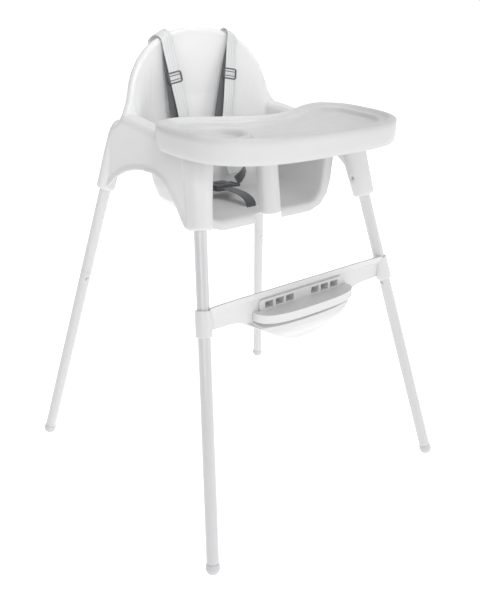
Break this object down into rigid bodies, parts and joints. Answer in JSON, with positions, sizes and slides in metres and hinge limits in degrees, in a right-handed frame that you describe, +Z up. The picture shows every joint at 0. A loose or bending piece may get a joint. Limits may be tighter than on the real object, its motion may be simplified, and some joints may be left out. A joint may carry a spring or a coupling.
{
  "type": "baby high chair",
  "caption": "Moulded plastic baby high chair with a one-piece bucket seat, lift-off food tray, tubular splayed legs, clipped footrest and a webbing harness.",
  "frame": {"origin": "centre of the footprint on the floor", "axes": "+Z up, -Y the way the chair faces, +X the seated child's left; X = 0 is the mirror plane"},
  "size_m": [0.6758, 0.6451, 0.9078],
  "materials": {
    "shell_plastic": "satin moulded polypropylene",
    "tray_plastic": "semi-gloss moulded polypropylene",
    "leg_paint": "gloss powder coat on steel tube",
    "cap_plastic": "satin",
    "button_steel": "plated",
    "webbing": "woven polyester webbing",
    "buckle_plastic": "satin"
  },
  "bodies": {
    "frame": {"buckle_body": "buckle_plastic", "buckle_tongue_left": "buckle_plastic", "buckle_tongue_right": "buckle_plastic", "crotch_strap": "webbing", "foot_cap_front_left": "cap_plastic", "foot_cap_front_right": "cap_plastic", "foot_cap_rear_left": "cap_plastic", "foot_cap_rear_right": "cap_plastic", "foot_shelf": "shell_plastic", "footrest_panel": "shell_plastic", "lower_leg_front_left": "leg_paint", "lower_leg_front_right": "leg_paint", "lower_leg_rear_left": "leg_paint", "lower_leg_rear_right": "leg_paint", "seat_shell": "shell_plastic", "shoulder_strap_left": "webbing", "shoulder_strap_right": "webbing", "upper_leg_front_left": "leg_paint", "upper_leg_front_right": "leg_paint", "upper_leg_rear_left": "leg_paint", "upper_leg_rear_right": "leg_paint", "waist_strap_left": "webbing", "waist_strap_right": "webbing"},
    "tray": {"tray": "tray_plastic"},
    "adjuster_left": {"strap_adjuster_left": "buckle_plastic"},
    "adjuster_right": {"strap_adjuster_right": "buckle_plastic"},
    "buckle_press": {"buckle_button": "buckle_plastic"},
    "leg_button_front_left_body": {"leg_button_front_left": "button_steel"},
    "socket_button_front_left_body": {"socket_button_front_left": "button_steel"},
    "leg_button_front_right_body": {"leg_button_front_right": "button_steel"},
    "socket_button_front_right_body": {"socket_button_front_right": "button_steel"},
    "leg_button_rear_left_body": {"leg_button_rear_left": "button_steel"},
    "socket_button_rear_left_body": {"socket_button_rear_left": "button_steel"},
    "leg_button_rear_right_body": {"leg_button_rear_right": "button_steel"},
    "socket_button_rear_right_body": {"socket_button_rear_right": "button_steel"}
  },
  "joints": [
    {"name": "tray_lift", "type": "slide", "parent": "frame", "child": "tray", "axis": [0, -0.0499, 0.9988], "range_m": [0, 0.12]},
    {"name": "buckle_button_press", "type": "slide", "parent": "frame", "child": "buckle_press", "axis": [0, 0, -1], "range_m": [0, 0.0025], "stiffness_N_per_m": 600},
    {"name": "strap_adjuster_slide_left", "type": "slide", "parent": "frame", "child": "adjuster_left", "axis": [-0.1656, 0.1104, 0.98], "range_m": [-0.035, 0.02]},
    {"name": "strap_adjuster_slide_right", "type": "slide", "parent": "frame", "child": "adjuster_right", "axis": [0.1656, 0.1104, 0.98], "range_m": [-0.035, 0.02]},
    {"name": "leg_button_front_left_press", "type": "slide", "parent": "frame", "child": "leg_button_front_left_body", "axis": [-0.9873, 0.0399, 0.1535], "range_m": [0, 0.004], "stiffness_N_per_m": 600},
    {"name": "socket_button_front_left_press", "type": "slide", "parent": "frame", "child": "socket_button_front_left_body", "axis": [-0.9873, 0.0399, 0.1535], "range_m": [0, 0.004], "stiffness_N_per_m": 600},
    {"name": "leg_button_front_right_press", "type": "slide", "parent": "frame", "child": "leg_button_front_right_body", "axis": [0.9873, 0.0399, 0.1535], "range_m": [0, 0.004], "stiffness_N_per_m": 600},
    {"name": "socket_button_front_right_press", "type": "slide", "parent": "frame", "child": "socket_button_front_right_body", "axis": [0.9873, 0.0399, 0.1535], "range_m": [0, 0.004], "stiffness_N_per_m": 600},
    {"name": "leg_button_rear_left_press", "type": "slide", "parent": "frame", "child": "leg_button_rear_left_body", "axis": [0.0446, 0.9742, 0.2214], "range_m": [0, 0.004], "stiffness_N_per_m": 600},
    {"name": "socket_button_rear_left_press", "type": "slide", "parent": "frame", "child": "socket_button_rear_left_body", "axis": [-0.9813, -0.0443, 0.1871], "range_m": [0, 0.004], "stiffness_N_per_m": 600},
    {"name": "leg_button_rear_right_press", "type": "slide", "parent": "frame", "child": "leg_button_rear_right_body", "axis": [-0.0446, 0.9742, 0.2214], "range_m": [0, 0.004], "stiffness_N_per_m": 600},
    {"name": "socket_button_rear_right_press", "type": "slide", "parent": "frame", "child": "socket_button_rear_right_body", "axis": [0.9813, -0.0443, 0.1871], "range_m": [0, 0.004], "stiffness_N_per_m": 600}
  ]
}
